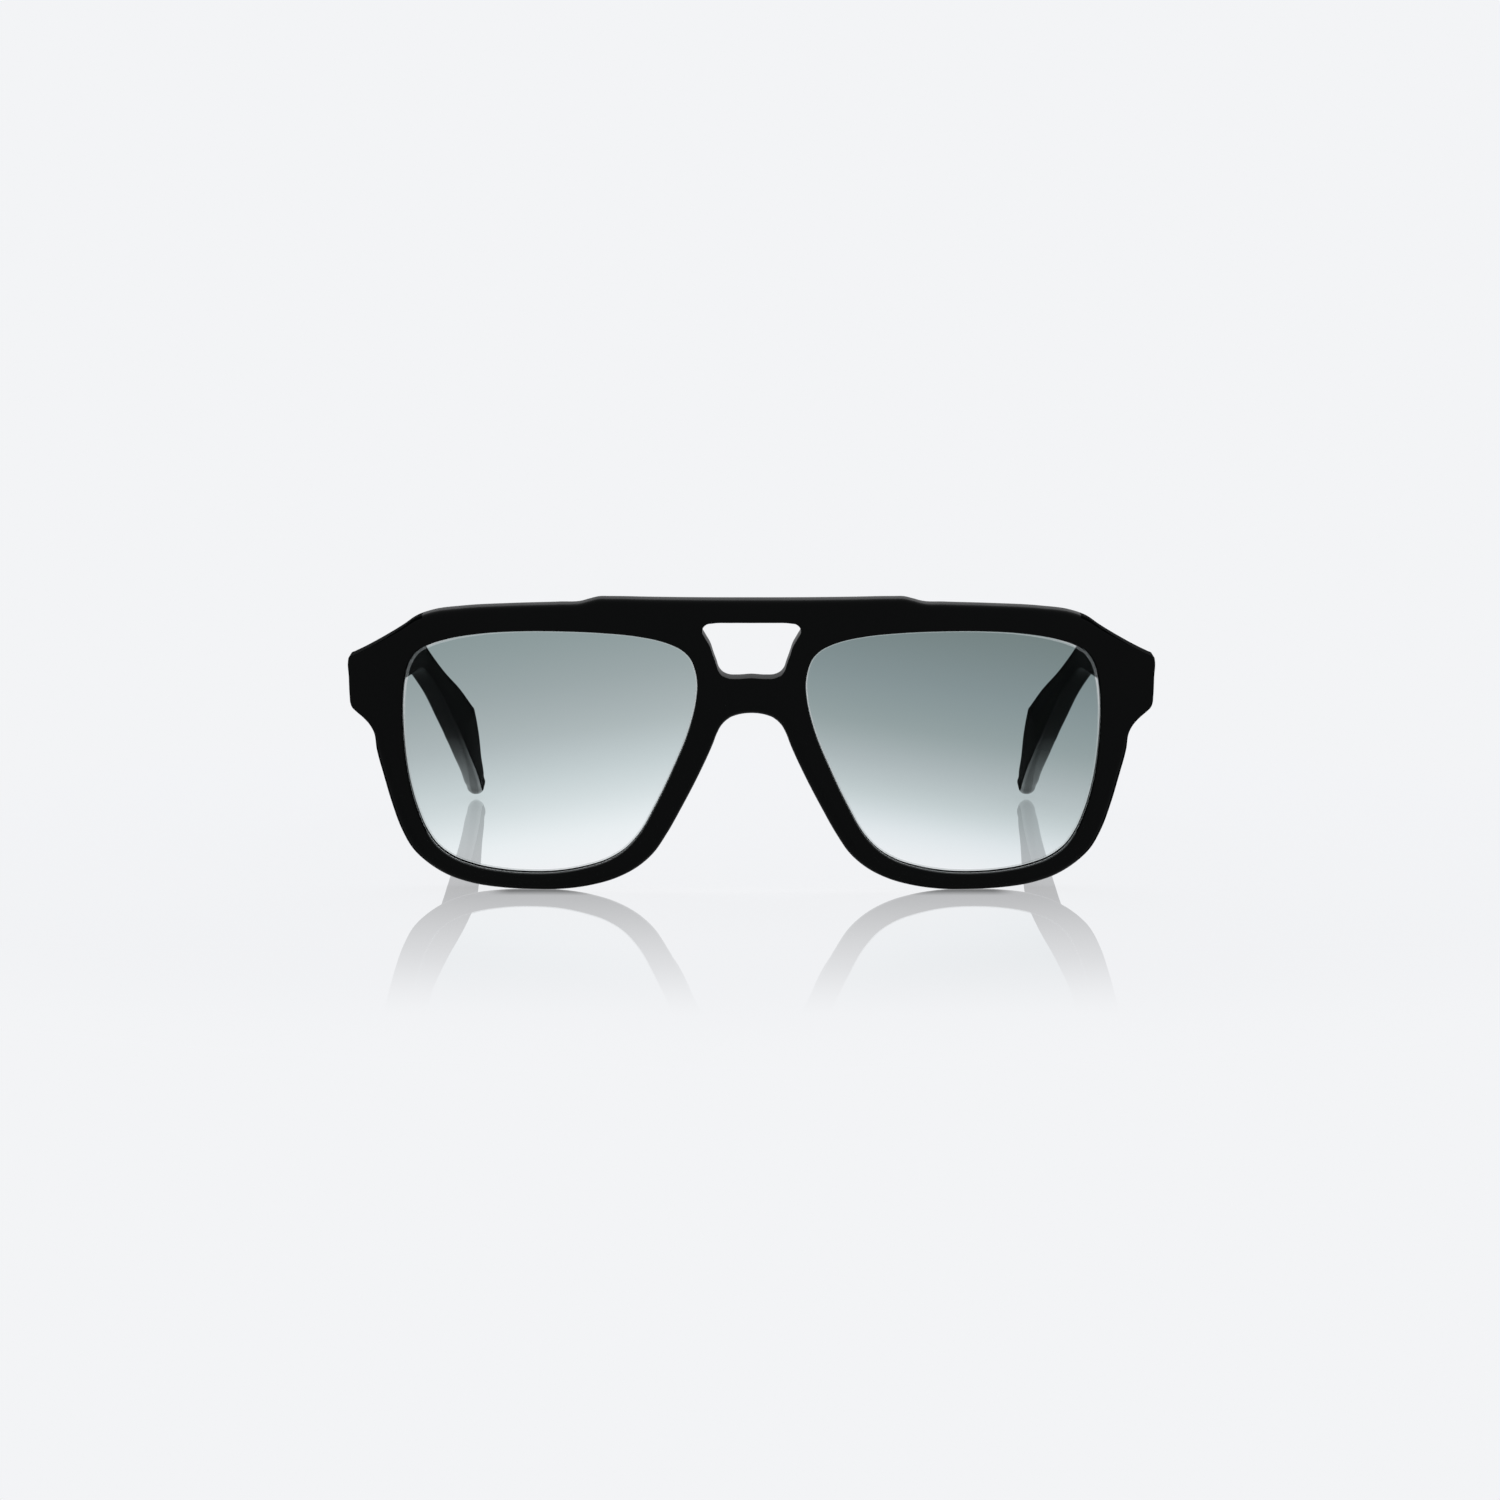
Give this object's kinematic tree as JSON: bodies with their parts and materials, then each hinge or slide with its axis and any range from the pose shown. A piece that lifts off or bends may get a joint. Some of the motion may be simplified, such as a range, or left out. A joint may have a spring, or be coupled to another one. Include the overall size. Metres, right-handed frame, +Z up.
{
  "type": "photochromic aviator glasses",
  "caption": "Thick matte black aviator glasses with a straight brow, keyhole bridge and graded grey photochromic lenses; the temples fold on knuckle hinges.",
  "frame": {"origin": "On the table under the middle of the glasses, which stand open on the lower rims and the temple tips.", "axes": "X runs across the face, with the wearer's left temple at +X; -Y is the front, +Y runs back along the temples; Z is up."},
  "size_m": [0.1444, 0.1425, 0.0532],
  "materials": {
    "acetate": "tumbled matte black cellulose acetate",
    "lens": "photochromic lens, grey at the top and nearly clear at the bottom",
    "nickel_silver": "plain nickel silver",
    "screw_steel": "plain stainless steel"
  },
  "bodies": {
    "front": {"front_frame": "acetate", "lens_left": "lens", "lens_right": "lens", "nose_pad_left": "acetate", "nose_pad_right": "acetate", "front_hinge_left": "nickel_silver", "front_hinge_right": "nickel_silver", "front_hinge_screws_left": "screw_steel", "front_hinge_screws_right": "screw_steel", "hinge_screw_left": "screw_steel", "hinge_screw_right": "screw_steel"},
    "temple_left": {"temple_left": "acetate", "temple_hinge_left": "nickel_silver", "temple_hinge_screws_left": "screw_steel", "core_wire_left": "nickel_silver"},
    "temple_right": {"temple_right": "acetate", "temple_hinge_right": "nickel_silver", "temple_hinge_screws_right": "screw_steel", "core_wire_right": "nickel_silver"}
  },
  "joints": [
    {"name": "fold_right", "type": "hinge", "parent": "front", "child": "temple_right", "pos_m": [0.0656, -0.05769, 0.03834], "axis": [0, -0.1045, 0.9945], "range_deg": [0, 88]},
    {"name": "fold_left", "type": "hinge", "parent": "front", "child": "temple_left", "pos_m": [-0.0656, -0.05769, 0.03834], "axis": [0, 0.1045, -0.9945], "range_deg": [0, 82]}
  ]
}
